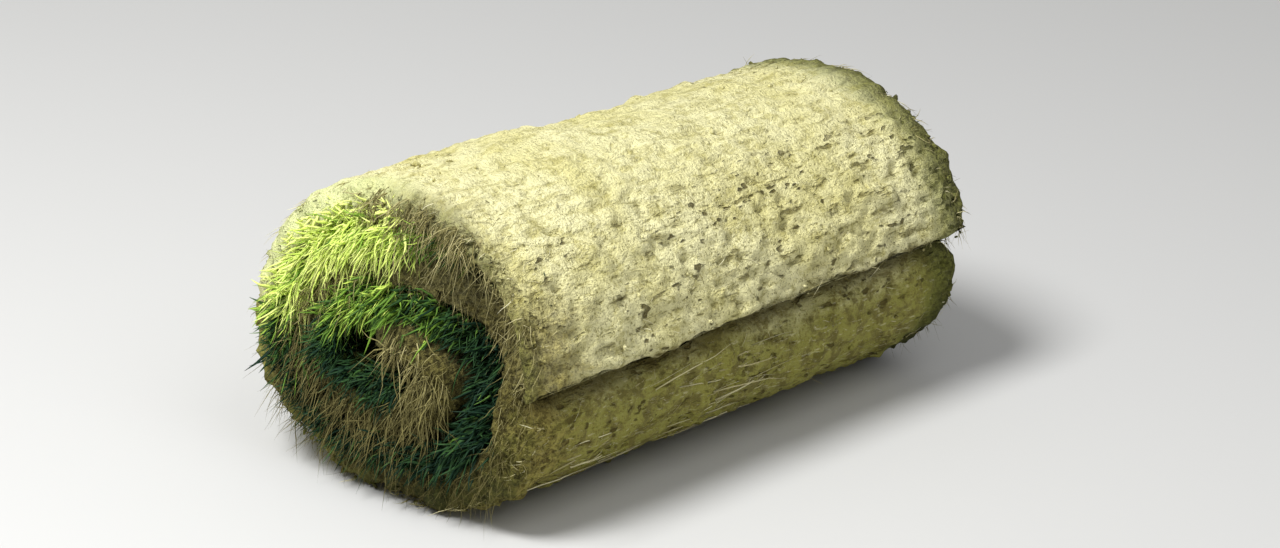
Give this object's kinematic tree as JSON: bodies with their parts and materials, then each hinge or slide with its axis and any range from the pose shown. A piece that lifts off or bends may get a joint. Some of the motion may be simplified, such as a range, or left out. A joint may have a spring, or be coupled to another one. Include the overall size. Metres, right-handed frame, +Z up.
{
  "type": "roll of turf",
  "caption": "Strip of lawn turf rolled up with the soil side out, a slightly flattened coil lying on its side, with the free edge lapped along one side and grass showing between the turns at the ends",
  "frame": {"origin": "on the ground under the middle of the roll", "axes": "+X along the roll, from the end where the grass shows best to the other end, +Z up, and the free edge of the strip on the -Y side"},
  "size_m": [0.5095, 0.2726, 0.221],
  "materials": {
    "soil": "matte",
    "grass": "matte"
  },
  "bodies": {
    "root": {"turf_roll": "soil"}
  },
  "joints": []
}
